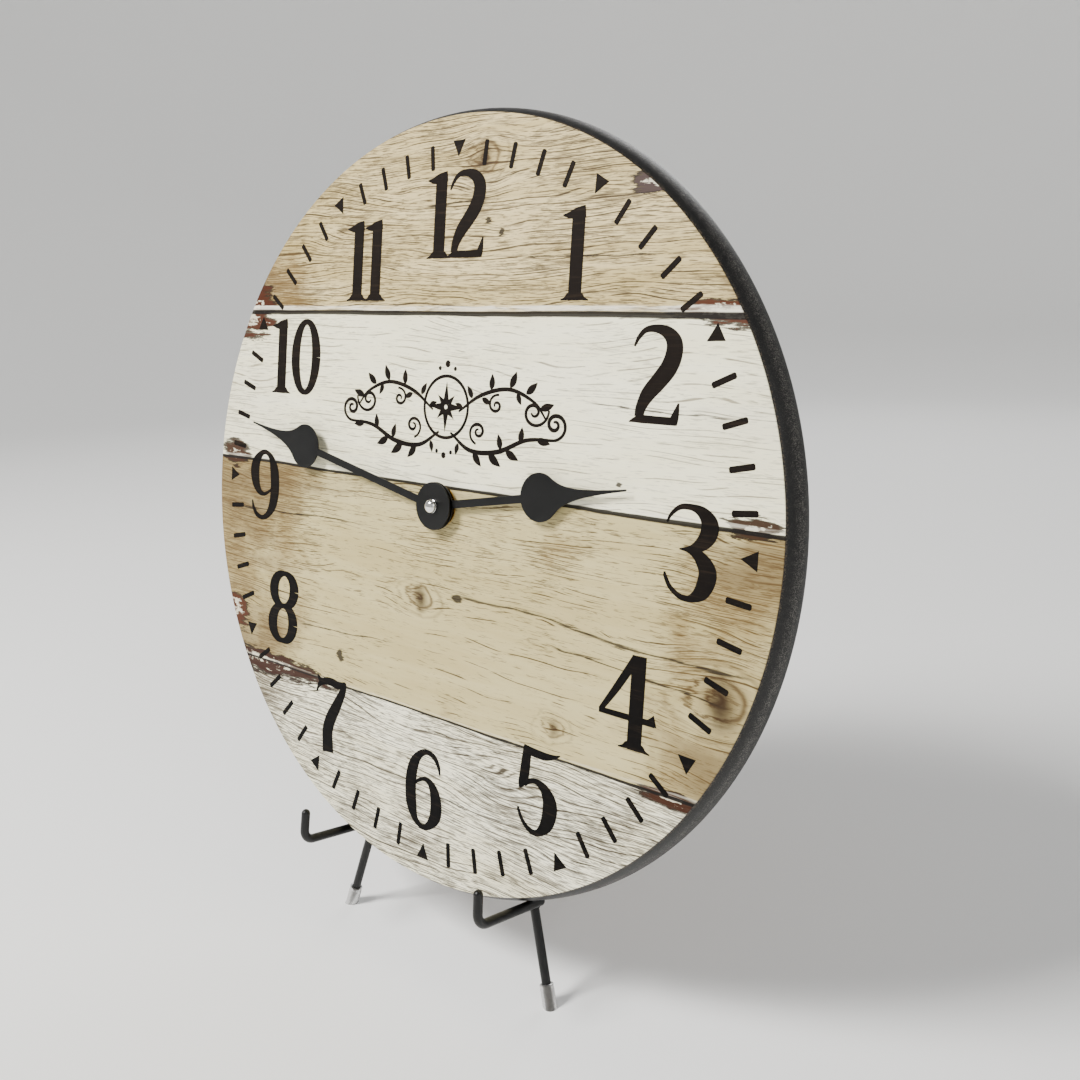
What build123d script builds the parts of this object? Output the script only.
from build123d import *

# Round wall clock with a quartz movement, standing on a folding wire easel.
#
# Millimetres, +Z up. The easel's three feet stand on Z = 0, the front looks towards -Y, and the origin
# is the middle of the footprint. The board leans back, so most pieces are drawn on DIAL, the plane of
# the board's front: its x runs right, its y runs up the board and its z points out at the viewer.

import os
from math import cos, radians, sin, sqrt, tan

os.makedirs("parts", exist_ok=True)

# ---------------------------------------------------------------- driving dimensions
# board and printed face
BOARD_DIAMETER = 304.8
BOARD_THICKNESS = 12.0
EDGE_SET_BACK = 3.0          # the printed face is this much smaller in radius than the board
EDGE_ROLL_DEPTH = 8.5        # depth over which the front edge rolls out to full size
FACE_THICKNESS = 0.25

# easel
LEAN = 8.0                   # degrees that the board leans back
ROD_RADIUS = 1.8
HINGE_DROP = 38.0            # hinge axis below the board's centre, along the board
HINGE_HALF_WIDTH = 13.9      # from the middle to each leg at the hinge
LEG_LENGTH = 151.9
LEG_SPLAY = 16.7             # degrees
REAR_SPLAY = 30.0            # degrees that the rear leg stands back from upright
HOOK_REACH = 20.4            # how far the arms reach in front of the board's face
HOOK_HEIGHT = 13.6
HOOK_RISE = 1.4              # how much the arms climb towards the front
HOOK_TOE_IN = 0.5            # how much the upturned tips lean inwards
CAP_WALL = 0.9
CAP_LENGTH = 8.5
CAP_FLOOR = 1.6
BARREL_RADIUS = 2.8
PIN_RADIUS = 1.4
KNUCKLE_LENGTH = 9.0

# movement
CASE_SIDE = 56.0
CASE_CORNER = 4.0
CASE_WALL = 1.2
FRONT_CASE_DEPTH = 7.6
REAR_COVER_DEPTH = 8.4
BUSH_RADIUS = 4.0
GASKET_THICKNESS = 0.6
HANGER_THICKNESS = 0.8
HANGER_WIDTH = 26.0
HANGER_TOP = 46.0            # top of the hanger plate above the shaft
NAIL_HOLE_RADIUS = 2.75
NAIL_HOLE_HEIGHT = 38.0
WASHER_RADIUS = 8.0
WASHER_THICKNESS = 0.5
NUT_FLATS = 11.0
NUT_THICKNESS = 1.7

# hands
MINUTE_REACH = 121.7
HOUR_REACH = 92.2
MINUTE_ANGLE = 281.6         # degrees clockwise from twelve
HOUR_ANGLE = 80.1
HAND_BOSS_RADIUS = 9.3
HAND_ARM_WIDTH = 3.1
MINUTE_SPADE_RADIUS = 9.4
HOUR_SPADE_RADIUS = 8.9
SPADE_TO_TIP = 38.8
HAND_THICKNESS = 0.5
HAND_TIP_HALF_WIDTH = 0.35
HOUR_HAND_HEIGHT = 3.0       # underside of the hour hand above the board's front
MINUTE_HAND_HEIGHT = 4.4
CAP_NUT_RADIUS = 2.7
CAP_NUT_HEIGHT = 2.9

# battery, size AA
CELL_RADIUS = 7.25
CELL_BODY_LENGTH = 49.5
CELL_NUB_RADIUS = 2.75
CELL_NUB_LENGTH = 1.0
BAY_WIDTH = 15.0
PARTITION_WALL = 0.8

# fits
FLAT_GAP = 0.3               # between faces of pieces that move past each other
REST_GAP = 0.3               # between the board and the rods that carry it
RUNNING_FIT = 0.05           # radial clearance of a turning shaft
SEAT_FIT = 0.02              # radial clearance of a piece pressed on another
LOOSE_FIT = 0.25             # radial clearance of a hole that something only passes through

# wheel train
GEAR_THICKNESS = 0.8
SHAFT_RADIUS = 0.5
HOUR_TUBE_RADIUS = 2.5
MINUTE_TUBE_RADIUS = 1.6
MINUTE_BORE_RADIUS = 0.8
MOTION_MODULE = 0.35         # cannon pinion and minute wheel
CANNON_TEETH, MINUTE_WHEEL_TEETH = 12, 36
MINUTE_PINION_TEETH, HOUR_TEETH = 12, 48
CENTRE_MODULE = 0.25         # third pinion and centre wheel
THIRD_PINION_TEETH, CENTRE_TEETH = 8, 64
SECONDS_PINION_TEETH, THIRD_TEETH = 8, 60
FAST_MODULE = 0.22           # intermediate pinion, seconds wheel, rotor pinion, intermediate wheel
INTERMEDIATE_PINION_TEETH, SECONDS_TEETH = 10, 60
ROTOR_PINION_TEETH, INTERMEDIATE_TEETH = 10, 50
MINUTE_WHEEL_DIRECTION = 150.0
KNOB_DIRECTION = 180.0       # from the minute wheel
THIRD_DIRECTION = 30.0
INTERMEDIATE_DIRECTION = 120.0
ROTOR_DIRECTION = 90.0       # from the intermediate wheel
KNOB_RADIUS = 6.0
KNOB_THICKNESS = 2.8
KNOB_STEM_RADIUS = 1.5

# ---------------------------------------------------------------- worked-out places
BOARD_RADIUS = BOARD_DIAMETER / 2
FACE_RADIUS = BOARD_RADIUS - EDGE_SET_BACK
LEG_DEPTH = -(BOARD_THICKNESS + REST_GAP + ROD_RADIUS)
HINGE_DEPTH = -(BOARD_THICKNESS + REST_GAP + BARREL_RADIUS)
FOOT_X = HINGE_HALF_WIDTH + LEG_LENGTH * sin(radians(LEG_SPLAY))
FOOT_Y = -HINGE_DROP - LEG_LENGTH * cos(radians(LEG_SPLAY))
LEAN_SIN, LEAN_COS = sin(radians(LEAN)), cos(radians(LEAN))


def standing_height(y, z):
    """Height above the dial's centre of a point drawn at y, z on DIAL."""
    return y * LEAN_COS + z * LEAN_SIN


def standing_back(y, z):
    """How far behind the dial's centre a point drawn at y, z on DIAL stands."""
    return y * LEAN_SIN - z * LEAN_COS


DIAL_HEIGHT = CAP_FLOOR - standing_height(FOOT_Y, LEG_DEPTH)
HINGE_HEIGHT = DIAL_HEIGHT + standing_height(-HINGE_DROP, HINGE_DEPTH)
CAP_RADIUS = ROD_RADIUS + SEAT_FIT + CAP_WALL
HOOK_BEND = 5.0
ARM_RADIUS_LINE = BOARD_RADIUS + REST_GAP + ROD_RADIUS

# The arm is welded to the outer side of the leg where it passes just under the board's rim: its centre
# is one rod's width from the leg's line, and ARM_RADIUS_LINE from the dial's centre.
SPLAY_SIN, SPLAY_COS = sin(radians(LEG_SPLAY)), cos(radians(LEG_SPLAY))
ARM_OFF_LINE = 2 * ROD_RADIUS + HINGE_HALF_WIDTH * SPLAY_COS - HINGE_DROP * SPLAY_SIN
ARM_DOWN_LINE = sqrt(ARM_RADIUS_LINE**2 - ARM_OFF_LINE**2)
ARM_X = ARM_OFF_LINE * SPLAY_COS + ARM_DOWN_LINE * SPLAY_SIN
ARM_Y = ARM_OFF_LINE * SPLAY_SIN - ARM_DOWN_LINE * SPLAY_COS
ARM_BACK = LEG_DEPTH - ROD_RADIUS
ARM_SLOPE = HOOK_RISE / (HOOK_REACH - ARM_BACK)
HOOK_Y = ARM_Y + ARM_SLOPE * (HOOK_REACH + EDGE_ROLL_DEPTH)
ARM_BACK_Y = ARM_Y + ARM_SLOPE * (ARM_BACK + EDGE_ROLL_DEPTH)

FRONT_REACH = standing_back(HOOK_Y + HOOK_BEND, HOOK_REACH - HOOK_BEND) - HOOK_BEND - ROD_RADIUS
REAR_RUN = HINGE_HEIGHT * tan(radians(REAR_SPLAY)) + CAP_RADIUS / cos(radians(REAR_SPLAY))
REAR_REACH = standing_back(-HINGE_DROP, HINGE_DEPTH) + REAR_RUN
DIAL_BACK = -(FRONT_REACH + REAR_REACH) / 2
HINGE_BACK = DIAL_BACK + standing_back(-HINGE_DROP, HINGE_DEPTH)

DIAL = Plane(origin=(0, DIAL_BACK, DIAL_HEIGHT), x_dir=(1, 0, 0), z_dir=(0, -LEAN_COS, LEAN_SIN))


def dial_point(x, y, z):
    """A place drawn on DIAL, in the row's own frame."""
    return DIAL.from_local_coords((x, y, z))


def dial_plane(x, y, z):
    """A plane parallel to DIAL with its centre at x, y, z."""
    return Plane(origin=dial_point(x, y, z), x_dir=DIAL.x_dir, z_dir=DIAL.z_dir)


def polar(distance, direction, start=(0.0, 0.0)):
    """The point at a distance and direction (degrees from x) from a start."""
    turn = radians(direction)
    return start[0] + distance * cos(turn), start[1] + distance * sin(turn)


# depths on DIAL, from the board's back towards the wall
HANGER_FRONT = -(BOARD_THICKNESS + GASKET_THICKNESS)
CASE_FRONT = HANGER_FRONT - HANGER_THICKNESS
CASE_FLOOR = CASE_FRONT - CASE_WALL
CASE_SPLIT = CASE_FRONT - FRONT_CASE_DEPTH
CASE_BACK = CASE_SPLIT - REAR_COVER_DEPTH
COVER_FLOOR = CASE_BACK + CASE_WALL
HOUR_LEVEL = CASE_FLOOR - FLAT_GAP
MOTION_LEVEL = HOUR_LEVEL - GEAR_THICKNESS - FLAT_GAP
CENTRE_LEVEL = MOTION_LEVEL - GEAR_THICKNESS - FLAT_GAP - 0.1
BRIDGE_FRONT = CENTRE_LEVEL - GEAR_THICKNESS - FLAT_GAP - 0.1
BRIDGE_THICKNESS = 1.0
BRIDGE_BACK = BRIDGE_FRONT - BRIDGE_THICKNESS
THIRD_LEVEL = BRIDGE_BACK - FLAT_GAP - 0.1
SECONDS_LEVEL = THIRD_LEVEL - GEAR_THICKNESS - FLAT_GAP - 0.1
FAST_LEVEL = SECONDS_LEVEL - GEAR_THICKNESS - FLAT_GAP - 0.1
MAGNET_LEVEL = FAST_LEVEL - GEAR_THICKNESS - FLAT_GAP - 0.1
MAGNET_THICKNESS = 2.4
MAGNET_RADIUS = 3.0
STATOR_LEVEL = MAGNET_LEVEL - GEAR_THICKNESS
STATOR_THICKNESS = 0.8
CORE_LEVEL = STATOR_LEVEL - STATOR_THICKNESS
SOCKET_HEIGHT = 1.0
SOCKET_RADIUS = 1.2
SHAFT_BACK = COVER_FLOOR + 0.4

# wheel centres
MOTION_DISTANCE = (CANNON_TEETH + MINUTE_WHEEL_TEETH) / 2 * MOTION_MODULE
HOUR_MODULE = 2 * MOTION_DISTANCE / (MINUTE_PINION_TEETH + HOUR_TEETH)
THIRD_DISTANCE = (THIRD_PINION_TEETH + CENTRE_TEETH) / 2 * CENTRE_MODULE
SECONDS_MODULE = 2 * THIRD_DISTANCE / (SECONDS_PINION_TEETH + THIRD_TEETH)
SHAFT_AT = (0.0, 0.0)
MINUTE_WHEEL_AT = polar(MOTION_DISTANCE, MINUTE_WHEEL_DIRECTION)
KNOB_AT = polar(MOTION_DISTANCE, KNOB_DIRECTION, MINUTE_WHEEL_AT)
THIRD_AT = polar(THIRD_DISTANCE, THIRD_DIRECTION)
INTERMEDIATE_AT = polar(
    (INTERMEDIATE_PINION_TEETH + SECONDS_TEETH) / 2 * FAST_MODULE, INTERMEDIATE_DIRECTION
)
ROTOR_AT = polar(
    (ROTOR_PINION_TEETH + INTERMEDIATE_TEETH) / 2 * FAST_MODULE, ROTOR_DIRECTION, INTERMEDIATE_AT
)
BAY_TOP = -CASE_SIDE / 2 + CASE_WALL + BAY_WIDTH
POST_RADIUS = 1.2
POST_X = CASE_SIDE / 2 - CASE_WALL - 2.8
POST_LOW_Y = BAY_TOP + PARTITION_WALL + POST_RADIUS + 2.2
POST_HIGH_Y = CASE_SIDE / 2 - CASE_WALL - 2.4
POSTS_AT = [(side * POST_X, y) for side in (-1, 1) for y in (POST_LOW_Y, POST_HIGH_Y)]


# ---------------------------------------------------------------- gear teeth
def meshing_turn(turn, teeth, other_teeth, direction):
    """Turn of a gear that lies in a direction from one already placed, so that their teeth mesh."""
    share = ((direction - turn) * teeth / 360) % 1
    return direction + 180 - (0.5 - share) * 360 / other_teeth


def gear_outline(teeth, module, turn):
    """Corners of a gear: each tooth has straight flanks that narrow from root to pitch line to tip."""
    pitch_radius = teeth * module / 2
    quarter_pitch = 90 / teeth
    root_share = 0.7 if teeth < 20 else 0.95
    half_tooth = [
        (pitch_radius - 1.1 * module, root_share),
        (pitch_radius, 0.7),
        (pitch_radius + 0.85 * module, 0.3),
    ]
    flanks = [(r, -share) for r, share in half_tooth] + [(r, share) for r, share in half_tooth[::-1]]
    return [
        polar(r, turn + 360 * tooth / teeth + share * quarter_pitch)
        for tooth in range(teeth)
        for r, share in flanks
    ]


MINUTE_WHEEL_TURN = meshing_turn(0, CANNON_TEETH, MINUTE_WHEEL_TEETH, MINUTE_WHEEL_DIRECTION)
KNOB_TURN = meshing_turn(MINUTE_WHEEL_TURN, MINUTE_WHEEL_TEETH, CANNON_TEETH, KNOB_DIRECTION)
HOUR_TURN = meshing_turn(0, MINUTE_PINION_TEETH, HOUR_TEETH, MINUTE_WHEEL_DIRECTION + 180)
THIRD_TURN = meshing_turn(0, SECONDS_PINION_TEETH, THIRD_TEETH, THIRD_DIRECTION)
CENTRE_TURN = meshing_turn(0, THIRD_PINION_TEETH, CENTRE_TEETH, THIRD_DIRECTION + 180)
SECONDS_TURN = meshing_turn(0, INTERMEDIATE_PINION_TEETH, SECONDS_TEETH, INTERMEDIATE_DIRECTION + 180)
ROTOR_TURN = meshing_turn(0, INTERMEDIATE_TEETH, ROTOR_PINION_TEETH, ROTOR_DIRECTION)


def save(piece, label):
    """Names a finished piece and writes its own file."""
    piece.part.label = label
    export_step(piece.part, f"parts/{label}.step")


# ---------------------------------------------------------------- board and printed face
# The front edge rolls out in one long arc, so the face is smaller than the board; the back edge is eased.
EDGE_EASE = BOARD_THICKNESS - EDGE_ROLL_DEPTH
with BuildPart() as board:
    with BuildSketch(Plane(origin=DIAL.origin, x_dir=DIAL.x_dir, z_dir=-DIAL.y_dir)):
        with BuildLine():
            Line((0, 0), (FACE_RADIUS, 0))
            RadiusArc(
                (FACE_RADIUS, 0),
                (BOARD_RADIUS, -EDGE_ROLL_DEPTH),
                (EDGE_ROLL_DEPTH**2 + EDGE_SET_BACK**2) / (2 * EDGE_SET_BACK),
            )
            RadiusArc(
                (BOARD_RADIUS, -EDGE_ROLL_DEPTH),
                (BOARD_RADIUS - EDGE_EASE, -BOARD_THICKNESS),
                EDGE_EASE,
            )
            Line((BOARD_RADIUS - EDGE_EASE, -BOARD_THICKNESS), (0, -BOARD_THICKNESS))
            Line((0, -BOARD_THICKNESS), (0, 0))
        make_face()
    revolve(axis=Axis(DIAL.origin, DIAL.z_dir))
    with Locations(DIAL):
        Cylinder(BUSH_RADIUS + LOOSE_FIT, 3 * BOARD_THICKNESS, mode=Mode.SUBTRACT)
save(board, "board")

with BuildPart() as dial_face:
    with BuildSketch(DIAL):
        Circle(FACE_RADIUS)
        Circle(BUSH_RADIUS + LOOSE_FIT, mode=Mode.SUBTRACT)
    extrude(amount=FACE_THICKNESS)
save(dial_face, "dial_face")

# ---------------------------------------------------------------- fastening of the movement
with BuildPart() as bush_washer:
    with BuildSketch(DIAL.offset(FACE_THICKNESS)):
        Circle(WASHER_RADIUS)
        Circle(BUSH_RADIUS + LOOSE_FIT, mode=Mode.SUBTRACT)
    extrude(amount=WASHER_THICKNESS)
save(bush_washer, "bush_washer")

NUT_BACK = FACE_THICKNESS + WASHER_THICKNESS
with BuildPart() as bush_nut:
    with BuildSketch(DIAL.offset(NUT_BACK)):
        RegularPolygon(NUT_FLATS / 2, 6, major_radius=False)
        Circle(BUSH_RADIUS + SEAT_FIT, mode=Mode.SUBTRACT)
    extrude(amount=NUT_THICKNESS)
save(bush_nut, "bush_nut")

with BuildPart() as gasket:
    with BuildSketch(DIAL.offset(HANGER_FRONT)):
        Circle(HANGER_WIDTH / 2 - 1)
        Circle(BUSH_RADIUS + LOOSE_FIT, mode=Mode.SUBTRACT)
    extrude(amount=GASKET_THICKNESS)
save(gasket, "gasket")

with BuildPart() as wall_hanger:
    with BuildSketch(DIAL.offset(CASE_FRONT)) as hanger_outline:
        with BuildLine():
            Polyline(
                (-HANGER_WIDTH / 2, -HANGER_WIDTH / 2),
                (HANGER_WIDTH / 2, -HANGER_WIDTH / 2),
                (HANGER_WIDTH / 2, CASE_SIDE / 2),
                (HANGER_WIDTH / 4, HANGER_TOP),
                (-HANGER_WIDTH / 4, HANGER_TOP),
                (-HANGER_WIDTH / 2, CASE_SIDE / 2),
                close=True,
            )
        make_face()
        fillet(hanger_outline.vertices(), 2.5)
        Circle(BUSH_RADIUS + LOOSE_FIT, mode=Mode.SUBTRACT)
        with Locations((0, NAIL_HOLE_HEIGHT)):
            Circle(NAIL_HOLE_RADIUS, mode=Mode.SUBTRACT)
    extrude(amount=HANGER_THICKNESS)
save(wall_hanger, "wall_hanger")


# ---------------------------------------------------------------- movement case
def case_outline(plane, inset):
    """The movement's rounded square, smaller by the inset on every side."""
    with BuildSketch(plane) as outline:
        RectangleRounded(CASE_SIDE - 2 * inset, CASE_SIDE - 2 * inset, CASE_CORNER - inset)
    return outline.sketch


BUSH_TOP = NUT_BACK + NUT_THICKNESS + 0.3
with BuildPart() as front_case:
    extrude(case_outline(DIAL.offset(CASE_SPLIT), 0), amount=FRONT_CASE_DEPTH)
    front_hollow = case_outline(DIAL.offset(CASE_SPLIT), CASE_WALL)
    extrude(front_hollow, amount=CASE_FLOOR - CASE_SPLIT, mode=Mode.SUBTRACT)
    with BuildSketch(DIAL.offset(CASE_FRONT)):
        Circle(BUSH_RADIUS)
    extrude(amount=BUSH_TOP - CASE_FRONT)
    with BuildSketch(DIAL.offset(BRIDGE_FRONT)):
        with Locations(*POSTS_AT):
            Circle(POST_RADIUS)
    extrude(amount=CASE_FLOOR - BRIDGE_FRONT)
    with BuildSketch(DIAL.offset(MOTION_LEVEL - GEAR_THICKNESS)):
        with Locations(MINUTE_WHEEL_AT):
            Circle(SHAFT_RADIUS)
    extrude(amount=CASE_FLOOR - MOTION_LEVEL + GEAR_THICKNESS)
    with BuildSketch(DIAL.offset(MOTION_LEVEL)):
        with Locations(THIRD_AT):
            Circle(SOCKET_RADIUS)
    extrude(amount=CASE_FLOOR - MOTION_LEVEL)
    with BuildSketch(DIAL.offset(MOTION_LEVEL)):
        with Locations(THIRD_AT):
            Circle(SHAFT_RADIUS + RUNNING_FIT)
    extrude(amount=SOCKET_HEIGHT, mode=Mode.SUBTRACT)
    with BuildSketch(DIAL.offset(CASE_FLOOR)):
        with Locations(KNOB_AT):
            Circle(SHAFT_RADIUS + RUNNING_FIT)
    extrude(amount=CASE_WALL / 2, mode=Mode.SUBTRACT)
    with BuildSketch(DIAL.offset(CASE_BACK)):
        Circle(HOUR_TUBE_RADIUS + RUNNING_FIT)
    extrude(amount=BUSH_TOP - CASE_BACK + 1, mode=Mode.SUBTRACT)
save(front_case, "front_case")

BAY_OPENING_HALF = CASE_SIDE / 2 - CASE_WALL - 0.5
BOARD_POSTS_AT = [(13.5, -6.0), (19.5, 1.5)]
STATOR_POSTS_AT = [(-8.0, 10.5), (20.0, 10.5)]
REAR_SOCKETS_AT = [SHAFT_AT, THIRD_AT, INTERMEDIATE_AT, ROTOR_AT]
CIRCUIT_BACK = COVER_FLOOR + 2.4
CIRCUIT_THICKNESS = 0.8
with BuildPart() as rear_cover:
    extrude(case_outline(DIAL.offset(CASE_BACK), 0), amount=REAR_COVER_DEPTH)
    rear_hollow = case_outline(DIAL.offset(COVER_FLOOR), CASE_WALL)
    extrude(rear_hollow, amount=CASE_SPLIT - COVER_FLOOR, mode=Mode.SUBTRACT)
    with BuildSketch(DIAL.offset(COVER_FLOOR)):
        with Locations((0, BAY_TOP + PARTITION_WALL / 2)):
            Rectangle(CASE_SIDE - 2 * CASE_WALL, PARTITION_WALL)
    extrude(amount=CASE_SPLIT - COVER_FLOOR)
    with BuildSketch(DIAL.offset(CASE_SPLIT)):
        with Locations((0, BAY_TOP + PARTITION_WALL / 2)):
            Rectangle(CASE_SIDE - 2 * CASE_WALL - 2 * FLAT_GAP, PARTITION_WALL)
    extrude(amount=CASE_FLOOR - CASE_SPLIT - FLAT_GAP)
    with BuildSketch(DIAL.offset(COVER_FLOOR)):
        with Locations(*POSTS_AT):
            Circle(POST_RADIUS)
    extrude(amount=BRIDGE_BACK - COVER_FLOOR)
    with BuildSketch(DIAL.offset(COVER_FLOOR)):
        with Locations(*BOARD_POSTS_AT):
            Circle(1.0)
    extrude(amount=CIRCUIT_BACK - COVER_FLOOR)
    with BuildSketch(DIAL.offset(COVER_FLOOR)):
        with Locations(*STATOR_POSTS_AT):
            Circle(POST_RADIUS)
    extrude(amount=CORE_LEVEL - COVER_FLOOR)
    with BuildSketch(DIAL.offset(COVER_FLOOR)):
        with Locations(*REAR_SOCKETS_AT):
            Circle(SOCKET_RADIUS)
    extrude(amount=SOCKET_HEIGHT)
    with BuildSketch(DIAL.offset(COVER_FLOOR)):
        with Locations(*REAR_SOCKETS_AT):
            Circle(SHAFT_RADIUS + RUNNING_FIT)
    extrude(amount=SOCKET_HEIGHT, mode=Mode.SUBTRACT)
    with BuildSketch(DIAL.offset(CASE_BACK)):
        with Locations(KNOB_AT):
            Circle(KNOB_STEM_RADIUS + RUNNING_FIT)
        with Locations((0, BAY_TOP - BAY_WIDTH / 2)):
            Rectangle(2 * BAY_OPENING_HALF, BAY_WIDTH)
    extrude(amount=CASE_WALL, mode=Mode.SUBTRACT)
save(rear_cover, "rear_cover")

BRIDGE_LOW = POST_LOW_Y - POST_RADIUS - 0.3
BRIDGE_HIGH = CASE_SIDE / 2 - CASE_WALL - FLAT_GAP
with BuildPart() as train_bridge:
    with BuildSketch(DIAL.offset(BRIDGE_BACK)):
        with Locations((0, (BRIDGE_LOW + BRIDGE_HIGH) / 2)):
            RectangleRounded(CASE_SIDE - 2 * CASE_WALL - 2 * FLAT_GAP, BRIDGE_HIGH - BRIDGE_LOW, 2.6)
        with Locations(SHAFT_AT, INTERMEDIATE_AT, ROTOR_AT):
            Circle(SHAFT_RADIUS + RUNNING_FIT, mode=Mode.SUBTRACT)
        with Locations(KNOB_AT, THIRD_AT):
            Circle(KNOB_STEM_RADIUS + LOOSE_FIT, mode=Mode.SUBTRACT)
    extrude(amount=BRIDGE_THICKNESS)
save(train_bridge, "train_bridge")

# ---------------------------------------------------------------- stepper motor
STATOR_LEFT, STATOR_RIGHT, LEG_WIDTH = -10.0, 22.0, 4.0
STATOR_LOW, STATOR_MID, STATOR_TOP = 8.5, 17.5, 23.5
STATOR_NECK_TOP = 12.5
with BuildPart() as stator:
    with BuildSketch(DIAL.offset(STATOR_LEVEL - STATOR_THICKNESS)):
        with BuildLine():
            Polyline(
                (STATOR_LEFT, STATOR_LOW),
                (STATOR_RIGHT, STATOR_LOW),
                (STATOR_RIGHT, STATOR_TOP),
                (STATOR_RIGHT - LEG_WIDTH, STATOR_TOP),
                (STATOR_RIGHT - LEG_WIDTH, STATOR_NECK_TOP),
                (ROTOR_AT[0] + 6, STATOR_NECK_TOP),
                (ROTOR_AT[0] + 6, STATOR_MID),
                (STATOR_LEFT + LEG_WIDTH, STATOR_MID),
                (STATOR_LEFT + LEG_WIDTH, STATOR_TOP),
                (STATOR_LEFT, STATOR_TOP),
                close=True,
            )
        make_face()
        with Locations(ROTOR_AT):
            Circle(MAGNET_RADIUS + 0.6, mode=Mode.SUBTRACT)
    extrude(amount=STATOR_THICKNESS)
save(stator, "stator")

CORE_MIDDLE_Y = STATOR_TOP - LEG_WIDTH / 2
CORE_MIDDLE_X = (STATOR_LEFT + STATOR_RIGHT) / 2
CORE_MIDDLE_Z = CORE_LEVEL - STATOR_THICKNESS / 2
WINDOW = 0.1
COIL_HALF = (STATOR_RIGHT - STATOR_LEFT) / 2 - LEG_WIDTH - 0.6
FLANGE = 0.8
CORE_MIDDLE = dial_point(CORE_MIDDLE_X, CORE_MIDDLE_Y, CORE_MIDDLE_Z)
CORE_END = Plane(origin=CORE_MIDDLE, x_dir=DIAL.y_dir, z_dir=DIAL.x_dir)
with BuildPart() as coil_core:
    with BuildSketch(CORE_END):
        Rectangle(LEG_WIDTH, STATOR_THICKNESS)
    extrude(amount=(STATOR_RIGHT - STATOR_LEFT) / 2, both=True)
save(coil_core, "coil_core")

BOBBIN_WALL = 0.5
BARREL_WIDE = LEG_WIDTH + 2 * (WINDOW + BOBBIN_WALL)
BARREL_TALL = STATOR_THICKNESS + 2 * (WINDOW + BOBBIN_WALL)
WINDING = 1.0
with BuildPart() as coil_bobbin:
    with BuildSketch(CORE_END):
        Rectangle(BARREL_WIDE, BARREL_TALL)
    extrude(amount=COIL_HALF, both=True)
    for end in (-1, 1):
        with BuildSketch(CORE_END.offset(end * (COIL_HALF - FLANGE / 2))):
            RectangleRounded(BARREL_WIDE + 2 * WINDING + 0.4, BARREL_TALL + 2 * WINDING + 0.2, 0.8)
        extrude(amount=FLANGE / 2, both=True)
    with BuildSketch(CORE_END):
        Rectangle(LEG_WIDTH + 2 * WINDOW, STATOR_THICKNESS + 2 * WINDOW)
    extrude(amount=2 * COIL_HALF, both=True, mode=Mode.SUBTRACT)
save(coil_bobbin, "coil_bobbin")

with BuildPart() as coil_winding:
    with BuildSketch(CORE_END):
        RectangleRounded(BARREL_WIDE + 2 * WINDING, BARREL_TALL + 2 * WINDING, 0.9)
        Rectangle(BARREL_WIDE, BARREL_TALL, mode=Mode.SUBTRACT)
    extrude(amount=COIL_HALF - FLANGE, both=True)
save(coil_winding, "coil_winding")

# ---------------------------------------------------------------- electronics
with BuildPart() as circuit_board:
    with BuildSketch(DIAL.offset(CIRCUIT_BACK)):
        with Locations((16.5, -2.5)):
            RectangleRounded(10, 12, 0.8)
    extrude(amount=CIRCUIT_THICKNESS)
save(circuit_board, "circuit_board")

CIRCUIT_FRONT = CIRCUIT_BACK + CIRCUIT_THICKNESS
CRYSTAL_RADIUS = 1.0
with BuildPart() as quartz_crystal:
    crystal_end = dial_point(13.5, -6, CIRCUIT_FRONT + CRYSTAL_RADIUS)
    with BuildSketch(Plane(origin=crystal_end, x_dir=DIAL.x_dir, z_dir=DIAL.y_dir)):
        Circle(CRYSTAL_RADIUS)
    extrude(amount=6.0)
    chamfer(quartz_crystal.edges(), 0.2)
save(quartz_crystal, "quartz_crystal")

CHIP_RADIUS = 2.2
CHIP_HEIGHT = 0.9
with BuildPart() as sealed_chip:
    with BuildSketch(dial_plane(18.2, -3.5, CIRCUIT_FRONT)):
        Circle(CHIP_RADIUS)
    extrude(amount=CHIP_HEIGHT, taper=35)
save(sealed_chip, "sealed_chip")

# ---------------------------------------------------------------- battery and contacts
CELL_Y = BAY_TOP - BAY_WIDTH / 2
CELL_Z = CASE_FLOOR - 0.35 - CELL_RADIUS
CELL_RIGHT = CASE_SIDE / 2 - CASE_WALL - 1.9
CELL_END = Plane(origin=dial_point(CELL_RIGHT, CELL_Y, CELL_Z), x_dir=DIAL.y_dir, z_dir=DIAL.x_dir)
with BuildPart() as battery_cell:
    with BuildSketch(CELL_END.offset(-CELL_BODY_LENGTH)):
        Circle(CELL_RADIUS)
    extrude(amount=CELL_BODY_LENGTH)
    fillet(battery_cell.edges(), 0.6)
save(battery_cell, "battery_cell")

with BuildPart() as battery_cap:
    with BuildSketch(CELL_END):
        Circle(CELL_NUB_RADIUS)
    extrude(amount=CELL_NUB_LENGTH)
    fillet(battery_cap.faces().sort_by(Axis.X)[-1].edges(), 0.4)
save(battery_cap, "battery_cap")

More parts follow.
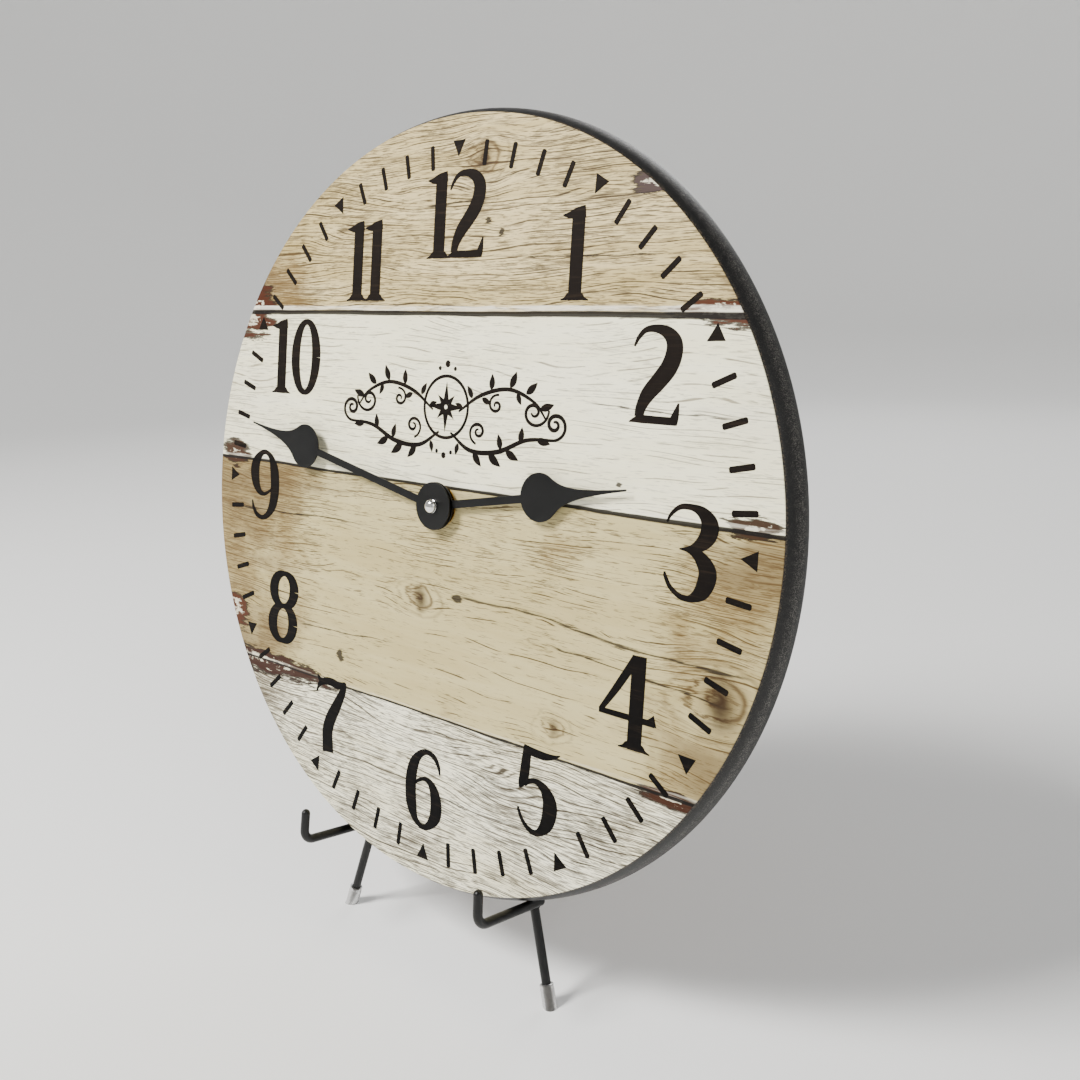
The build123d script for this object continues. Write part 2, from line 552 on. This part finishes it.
CONTACT_THICKNESS = 0.4
CONTACT_HEIGHT = 10.0
CONTACT_WIDTH = 9.0
INNER_HALF = CASE_SIDE / 2 - CASE_WALL
with BuildPart() as plus_contact:
    with BuildSketch(
        Plane(origin=dial_point(INNER_HALF, CELL_Y, CELL_Z), x_dir=DIAL.y_dir, z_dir=-DIAL.x_dir)
    ):
        Rectangle(CONTACT_HEIGHT, CONTACT_WIDTH)
    extrude(amount=CONTACT_THICKNESS)
    with BuildSketch(
        Plane(
            origin=dial_point(INNER_HALF - CONTACT_THICKNESS, CELL_Y, CELL_Z),
            x_dir=DIAL.y_dir,
            z_dir=-DIAL.x_dir,
        )
    ):
        Circle(1.6)
    extrude(amount=CELL_NUB_LENGTH - CONTACT_THICKNESS - 0.2, taper=30)
save(plus_contact, "plus_contact")

SPRING_TIP = CELL_RIGHT - CELL_BODY_LENGTH - 0.1
LEAF_THICKNESS = 0.3
LEAF_ROOT = -INNER_HALF + CONTACT_THICKNESS + 0.1
with BuildPart() as minus_contact:
    with BuildSketch(
        Plane(origin=dial_point(-INNER_HALF, CELL_Y, CELL_Z), x_dir=DIAL.y_dir, z_dir=DIAL.x_dir)
    ):
        Rectangle(CONTACT_HEIGHT, CONTACT_WIDTH)
    extrude(amount=CONTACT_THICKNESS)
    with BuildSketch(Plane(origin=dial_point(0, CELL_Y, CELL_Z), x_dir=DIAL.x_dir, z_dir=DIAL.z_dir)):
        with BuildLine():
            ThreePointArc(
                (LEAF_ROOT, CONTACT_HEIGHT / 2 - 0.6),
                (SPRING_TIP - LEAF_THICKNESS / 2, 0),
                (LEAF_ROOT + 0.4, -CONTACT_HEIGHT / 2 + 1.2),
            )
        trace(line_width=LEAF_THICKNESS)
    extrude(amount=CONTACT_WIDTH / 3, both=True)
save(minus_contact, "minus_contact")

# ---------------------------------------------------------------- wheels of the drive train
with BuildPart() as centre_wheel:
    with BuildSketch(DIAL.offset(CENTRE_LEVEL - GEAR_THICKNESS)):
        with BuildLine():
            Polyline(*gear_outline(CENTRE_TEETH, CENTRE_MODULE, CENTRE_TURN), close=True)
        make_face()
        with PolarLocations(5.0, 3):
            Circle(1.5, mode=Mode.SUBTRACT)
        Circle(MINUTE_TUBE_RADIUS + RUNNING_FIT, mode=Mode.SUBTRACT)
    extrude(amount=GEAR_THICKNESS)
save(centre_wheel, "centre_wheel")

PINION_REACH = 0.1
with BuildPart() as third_wheel:
    with BuildSketch(dial_plane(*THIRD_AT, THIRD_LEVEL - GEAR_THICKNESS)):
        with BuildLine():
            Polyline(*gear_outline(THIRD_TEETH, SECONDS_MODULE, THIRD_TURN), close=True)
        make_face()
        with PolarLocations(4.8, 4):
            Circle(1.5, mode=Mode.SUBTRACT)
    extrude(amount=GEAR_THICKNESS)
    with BuildSketch(dial_plane(*THIRD_AT, THIRD_LEVEL)):
        with BuildLine():
            Polyline(*gear_outline(THIRD_PINION_TEETH, CENTRE_MODULE, 0), close=True)
        make_face()
    extrude(amount=CENTRE_LEVEL - THIRD_LEVEL + PINION_REACH)
    with BuildSketch(dial_plane(*THIRD_AT, SHAFT_BACK)):
        Circle(SHAFT_RADIUS)
    extrude(amount=MOTION_LEVEL + SOCKET_HEIGHT - 0.2 - SHAFT_BACK)
save(third_wheel, "third_wheel")

with BuildPart() as seconds_wheel:
    with BuildSketch(DIAL.offset(SECONDS_LEVEL - GEAR_THICKNESS)):
        with BuildLine():
            Polyline(*gear_outline(SECONDS_TEETH, FAST_MODULE, SECONDS_TURN), close=True)
        make_face()
        with PolarLocations(4.0, 4):
            Circle(1.2, mode=Mode.SUBTRACT)
    extrude(amount=GEAR_THICKNESS)
    with BuildSketch(DIAL.offset(SECONDS_LEVEL)):
        with BuildLine():
            Polyline(*gear_outline(SECONDS_PINION_TEETH, SECONDS_MODULE, 0), close=True)
        make_face()
    extrude(amount=THIRD_LEVEL - SECONDS_LEVEL + PINION_REACH)
    with BuildSketch(DIAL.offset(SHAFT_BACK)):
        Circle(SHAFT_RADIUS)
    extrude(amount=BRIDGE_FRONT + 1.5 - SHAFT_BACK)
save(seconds_wheel, "seconds_wheel")

with BuildPart() as intermediate_wheel:
    with BuildSketch(dial_plane(*INTERMEDIATE_AT, FAST_LEVEL - GEAR_THICKNESS)):
        with BuildLine():
            Polyline(*gear_outline(INTERMEDIATE_TEETH, FAST_MODULE, 0), close=True)
        make_face()
        with PolarLocations(3.4, 3):
            Circle(1.1, mode=Mode.SUBTRACT)
    extrude(amount=GEAR_THICKNESS)
    with BuildSketch(dial_plane(*INTERMEDIATE_AT, FAST_LEVEL)):
        with BuildLine():
            Polyline(*gear_outline(INTERMEDIATE_PINION_TEETH, FAST_MODULE, 0), close=True)
        make_face()
    extrude(amount=SECONDS_LEVEL - FAST_LEVEL + PINION_REACH)
    with BuildSketch(dial_plane(*INTERMEDIATE_AT, SHAFT_BACK)):
        Circle(SHAFT_RADIUS)
    extrude(amount=BRIDGE_FRONT - 0.2 - SHAFT_BACK)
save(intermediate_wheel, "intermediate_wheel")

ROTOR_HUB_RADIUS = 0.9
with BuildPart() as rotor_pinion:
    with BuildSketch(dial_plane(*ROTOR_AT, FAST_LEVEL - GEAR_THICKNESS)):
        with BuildLine():
            Polyline(*gear_outline(ROTOR_PINION_TEETH, FAST_MODULE, ROTOR_TURN), close=True)
        make_face()
    extrude(amount=GEAR_THICKNESS + PINION_REACH)
    with BuildSketch(dial_plane(*ROTOR_AT, MAGNET_LEVEL - MAGNET_THICKNESS)):
        Circle(ROTOR_HUB_RADIUS)
    extrude(amount=FAST_LEVEL - GEAR_THICKNESS - MAGNET_LEVEL + MAGNET_THICKNESS)
    with BuildSketch(dial_plane(*ROTOR_AT, SHAFT_BACK)):
        Circle(SHAFT_RADIUS)
    extrude(amount=BRIDGE_FRONT - 0.2 - SHAFT_BACK)
save(rotor_pinion, "rotor_pinion")

with BuildPart() as rotor_magnet:
    with BuildSketch(dial_plane(*ROTOR_AT, MAGNET_LEVEL - MAGNET_THICKNESS)):
        Circle(MAGNET_RADIUS)
        Circle(ROTOR_HUB_RADIUS + SEAT_FIT, mode=Mode.SUBTRACT)
    extrude(amount=MAGNET_THICKNESS)
save(rotor_magnet, "rotor_magnet")

# ---------------------------------------------------------------- motion work
MINUTE_TUBE_TOP = MINUTE_HAND_HEIGHT + HAND_THICKNESS + 1.6
with BuildPart() as minute_tube:
    with BuildSketch(DIAL.offset(BRIDGE_FRONT + FLAT_GAP / 2)):
        Circle(MINUTE_TUBE_RADIUS)
    extrude(amount=MINUTE_TUBE_TOP - BRIDGE_FRONT - FLAT_GAP / 2)
    with BuildSketch(DIAL.offset(MOTION_LEVEL - GEAR_THICKNESS - PINION_REACH)):
        with BuildLine():
            Polyline(*gear_outline(CANNON_TEETH, MOTION_MODULE, 0), close=True)
        make_face()
    extrude(amount=GEAR_THICKNESS + 2 * PINION_REACH)
    with BuildSketch(DIAL.offset(BRIDGE_FRONT)):
        Circle(MINUTE_BORE_RADIUS)
    extrude(amount=4.0, mode=Mode.SUBTRACT)
save(minute_tube, "minute_tube")

with BuildPart() as minute_wheel:
    with BuildSketch(dial_plane(*MINUTE_WHEEL_AT, MOTION_LEVEL - GEAR_THICKNESS)):
        with BuildLine():
            Polyline(*gear_outline(MINUTE_WHEEL_TEETH, MOTION_MODULE, MINUTE_WHEEL_TURN), close=True)
        make_face()
        with PolarLocations(3.8, 3):
            Circle(1.2, mode=Mode.SUBTRACT)
    extrude(amount=GEAR_THICKNESS)
    with BuildSketch(dial_plane(*MINUTE_WHEEL_AT, MOTION_LEVEL)):
        with BuildLine():
            Polyline(*gear_outline(MINUTE_PINION_TEETH, HOUR_MODULE, 0), close=True)
        make_face()
    extrude(amount=HOUR_LEVEL - MOTION_LEVEL)
    with BuildSketch(dial_plane(*MINUTE_WHEEL_AT, MOTION_LEVEL - 2 * GEAR_THICKNESS)):
        Circle(SHAFT_RADIUS + RUNNING_FIT)
    extrude(amount=4 * GEAR_THICKNESS, mode=Mode.SUBTRACT)
save(minute_wheel, "minute_wheel")

HOUR_TUBE_TOP = HOUR_HAND_HEIGHT + HAND_THICKNESS + 0.4
with BuildPart() as hour_wheel:
    with BuildSketch(DIAL.offset(HOUR_LEVEL - GEAR_THICKNESS)):
        with BuildLine():
            Polyline(*gear_outline(HOUR_TEETH, HOUR_MODULE, HOUR_TURN), close=True)
        make_face()
    extrude(amount=GEAR_THICKNESS)
    with BuildSketch(DIAL.offset(HOUR_LEVEL)):
        Circle(HOUR_TUBE_RADIUS)
    extrude(amount=HOUR_TUBE_TOP - HOUR_LEVEL)
    with BuildSketch(DIAL.offset(HOUR_LEVEL - 2 * GEAR_THICKNESS)):
        Circle(MINUTE_TUBE_RADIUS + RUNNING_FIT)
    extrude(amount=HOUR_TUBE_TOP - HOUR_LEVEL + 3 * GEAR_THICKNESS, mode=Mode.SUBTRACT)
save(hour_wheel, "hour_wheel")

KNOB_FRONT = CASE_BACK - FLAT_GAP
with BuildPart() as setting_knob:
    with BuildSketch(dial_plane(*KNOB_AT, MOTION_LEVEL - GEAR_THICKNESS)):
        with BuildLine():
            Polyline(*gear_outline(CANNON_TEETH, MOTION_MODULE, KNOB_TURN), close=True)
        make_face()
    extrude(amount=GEAR_THICKNESS)
    with BuildSketch(dial_plane(*KNOB_AT, MOTION_LEVEL)):
        Circle(SHAFT_RADIUS)
    extrude(amount=CASE_FLOOR - MOTION_LEVEL + CASE_WALL / 2 - 0.1)
    with BuildSketch(dial_plane(*KNOB_AT, KNOB_FRONT)):
        Circle(KNOB_STEM_RADIUS)
    extrude(amount=MOTION_LEVEL - GEAR_THICKNESS - KNOB_FRONT)
    with BuildSketch(dial_plane(*KNOB_AT, KNOB_FRONT - KNOB_THICKNESS)):
        Circle(KNOB_RADIUS)
        with PolarLocations(KNOB_RADIUS, 24):
            Circle(0.35, mode=Mode.SUBTRACT)
    extrude(amount=KNOB_THICKNESS)
save(setting_knob, "setting_knob")


# ---------------------------------------------------------------- hands
def hand_plane(angle, height):
    """A plane parallel to DIAL whose x runs along a hand that points at a clock angle."""
    along = DIAL.x_dir * sin(radians(angle)) + DIAL.y_dir * cos(radians(angle))
    return Plane(origin=dial_point(0, 0, height), x_dir=along, z_dir=DIAL.z_dir)


def spade_hand(plane, reach, spade_radius, bore_radius):
    """A spade hand: boss, straight arm, round-backed spade and a hollow-sided point."""
    spade_at = reach - SPADE_TO_TIP
    leave = radians(48)
    start = (spade_at + spade_radius * cos(leave), spade_radius * sin(leave))
    pull = (start[0] + 6.0 * sin(leave), start[1] - 6.0 * cos(leave))
    ease = (spade_at + 17.0, 0.9)
    tip = (reach - HAND_TIP_HALF_WIDTH, HAND_TIP_HALF_WIDTH)
    with BuildSketch(plane) as outline:
        Circle(HAND_BOSS_RADIUS)
        with Locations((spade_at / 2, 0)):
            Rectangle(spade_at, HAND_ARM_WIDTH)
        with Locations((spade_at, 0)):
            Circle(spade_radius)
        with BuildLine():
            Bezier(start, pull, ease, tip)
            Bezier(*[(x, -y) for x, y in (start, pull, ease, tip)])
            Line(start, (start[0], -start[1]))
            ThreePointArc(tip, (reach, 0), (tip[0], -tip[1]))
        make_face()
        Circle(bore_radius, mode=Mode.SUBTRACT)
    return outline.sketch


with BuildPart() as hour_hand:
    hour_outline = spade_hand(
        hand_plane(HOUR_ANGLE, HOUR_HAND_HEIGHT),
        HOUR_REACH,
        HOUR_SPADE_RADIUS,
        HOUR_TUBE_RADIUS + SEAT_FIT,
    )
    extrude(hour_outline, amount=HAND_THICKNESS)
save(hour_hand, "hour_hand")

with BuildPart() as minute_hand:
    minute_outline = spade_hand(
        hand_plane(MINUTE_ANGLE, MINUTE_HAND_HEIGHT),
        MINUTE_REACH,
        MINUTE_SPADE_RADIUS,
        MINUTE_TUBE_RADIUS + SEAT_FIT,
    )
    extrude(minute_outline, amount=HAND_THICKNESS)
save(minute_hand, "minute_hand")

NUT_SEAT = MINUTE_HAND_HEIGHT + HAND_THICKNESS
NUT_COLLAR = 1.1
with BuildPart() as cap_nut:
    with BuildSketch(DIAL.offset(NUT_SEAT)):
        Circle(CAP_NUT_RADIUS)
    extrude(amount=NUT_COLLAR)
    with BuildSketch(Plane(origin=dial_point(0, 0, NUT_SEAT), x_dir=DIAL.x_dir, z_dir=-DIAL.y_dir)):
        with BuildLine():
            Line((0, NUT_COLLAR), (CAP_NUT_RADIUS, NUT_COLLAR))
            EllipticalCenterArc(
                (0, NUT_COLLAR), CAP_NUT_RADIUS, CAP_NUT_HEIGHT - NUT_COLLAR, start_angle=0, arc_size=90
            )
            Line((0, CAP_NUT_HEIGHT), (0, NUT_COLLAR))
        make_face()
    revolve(axis=Axis(DIAL.origin, DIAL.z_dir))
    with BuildSketch(DIAL.offset(NUT_SEAT)):
        Circle(MINUTE_TUBE_RADIUS + SEAT_FIT)
    extrude(amount=MINUTE_TUBE_TOP - NUT_SEAT + 0.1, mode=Mode.SUBTRACT)
save(cap_nut, "cap_nut")

# ---------------------------------------------------------------- easel
HINGE_AXIS_PLANE = Plane(origin=(0, HINGE_BACK, HINGE_HEIGHT), x_dir=(0, 1, 0), z_dir=(1, 0, 0))
BARREL_START = KNUCKLE_LENGTH / 2 + FLAT_GAP
BARREL_END = HINGE_HALF_WIDTH + ROD_RADIUS + 0.8


def foot_cap(end, direction):
    """A soft tube with a closed end pushed over the end of a rod and worn flat where it stands."""
    outward = Plane(origin=end - direction * (CAP_LENGTH - CAP_FLOOR), z_dir=direction)
    with BuildPart() as cap:
        with BuildSketch(outward):
            Circle(CAP_RADIUS)
        extrude(amount=CAP_LENGTH + CAP_RADIUS)
        with BuildSketch(outward):
            Circle(ROD_RADIUS + SEAT_FIT)
        extrude(amount=CAP_LENGTH - CAP_FLOOR, mode=Mode.SUBTRACT)
        split(bisect_by=Plane.XY, keep=Keep.TOP)
    return cap


for side, name in ((-1, "left"), (1, "right")):
    leg_top = dial_point(side * HINGE_HALF_WIDTH, -HINGE_DROP, LEG_DEPTH)
    leg_foot = dial_point(side * FOOT_X, FOOT_Y, LEG_DEPTH)
    direction = (leg_foot - leg_top).normalized()
    with BuildPart() as leg:
        with BuildSketch(Plane(origin=leg_top, z_dir=direction)):
            Circle(ROD_RADIUS)
        extrude(amount=LEG_LENGTH)
        with Locations(HINGE_AXIS_PLANE):
            Cylinder(BARREL_RADIUS, 4 * HINGE_HALF_WIDTH, mode=Mode.SUBTRACT)
    save(leg, f"{name}_leg")

    with BuildPart() as barrel:
        with BuildSketch(HINGE_AXIS_PLANE.offset(side * (BARREL_START + BARREL_END) / 2)):
            Circle(BARREL_RADIUS)
            Circle(PIN_RADIUS + SEAT_FIT, mode=Mode.SUBTRACT)
        extrude(amount=(BARREL_END - BARREL_START) / 2, both=True)
    save(barrel, f"{name}_hinge_barrel")

    save(foot_cap(leg_foot, direction), f"{name}_foot_cap")

    # The hook arm: straight under the board, then a bend and an upturned tip.
    with BuildPart() as hook:
        with BuildLine() as hook_line:
            FilletPolyline(
                dial_point(side * ARM_X, ARM_BACK_Y, ARM_BACK),
                dial_point(side * ARM_X, HOOK_Y, HOOK_REACH),
                dial_point(side * (ARM_X - HOOK_TOE_IN), HOOK_Y + HOOK_HEIGHT, HOOK_REACH),
                radius=HOOK_BEND,
            )
        with BuildSketch(Plane(origin=hook_line.line @ 0, z_dir=hook_line.line % 0)):
            Circle(ROD_RADIUS)
        sweep()
    save(hook, f"{name}_hook_arm")

PIN_HEAD_RADIUS = 2.2
PIN_HEAD = 0.8
with BuildPart() as hinge_pin:
    with BuildSketch(HINGE_AXIS_PLANE):
        Circle(PIN_RADIUS)
    extrude(amount=BARREL_END, both=True)
    for side in (-1, 1):
        with BuildSketch(HINGE_AXIS_PLANE.offset(side * (BARREL_END + PIN_HEAD / 2))):
            Circle(PIN_HEAD_RADIUS)
        extrude(amount=PIN_HEAD / 2, both=True)
save(hinge_pin, "hinge_pin")

REAR_DIRECTION = Vector(0, sin(radians(REAR_SPLAY)), -cos(radians(REAR_SPLAY)))
HINGE_POINT = Vector(0, HINGE_BACK, HINGE_HEIGHT)
REAR_LEG_LENGTH = (HINGE_HEIGHT - CAP_FLOOR) / cos(radians(REAR_SPLAY))
with BuildPart() as rear_knuckle:
    with BuildSketch(HINGE_AXIS_PLANE):
        Circle(BARREL_RADIUS)
        Circle(PIN_RADIUS + RUNNING_FIT, mode=Mode.SUBTRACT)
    extrude(amount=KNUCKLE_LENGTH / 2, both=True)
save(rear_knuckle, "rear_knuckle")

with BuildPart() as rear_leg:
    with BuildSketch(Plane(origin=HINGE_POINT, z_dir=REAR_DIRECTION)):
        Circle(ROD_RADIUS)
    extrude(amount=REAR_LEG_LENGTH)
    with Locations(HINGE_AXIS_PLANE):
        Cylinder(BARREL_RADIUS, 4 * HINGE_HALF_WIDTH, mode=Mode.SUBTRACT)
save(rear_leg, "rear_leg")

save(foot_cap(HINGE_POINT + REAR_DIRECTION * REAR_LEG_LENGTH, REAR_DIRECTION), "rear_foot_cap")

print("dial centre", tuple(DIAL.origin), "hinge", tuple(HINGE_POINT))
print("front foot", tuple(dial_point(FOOT_X, FOOT_Y, LEG_DEPTH)), "front reach", FRONT_REACH + DIAL_BACK)
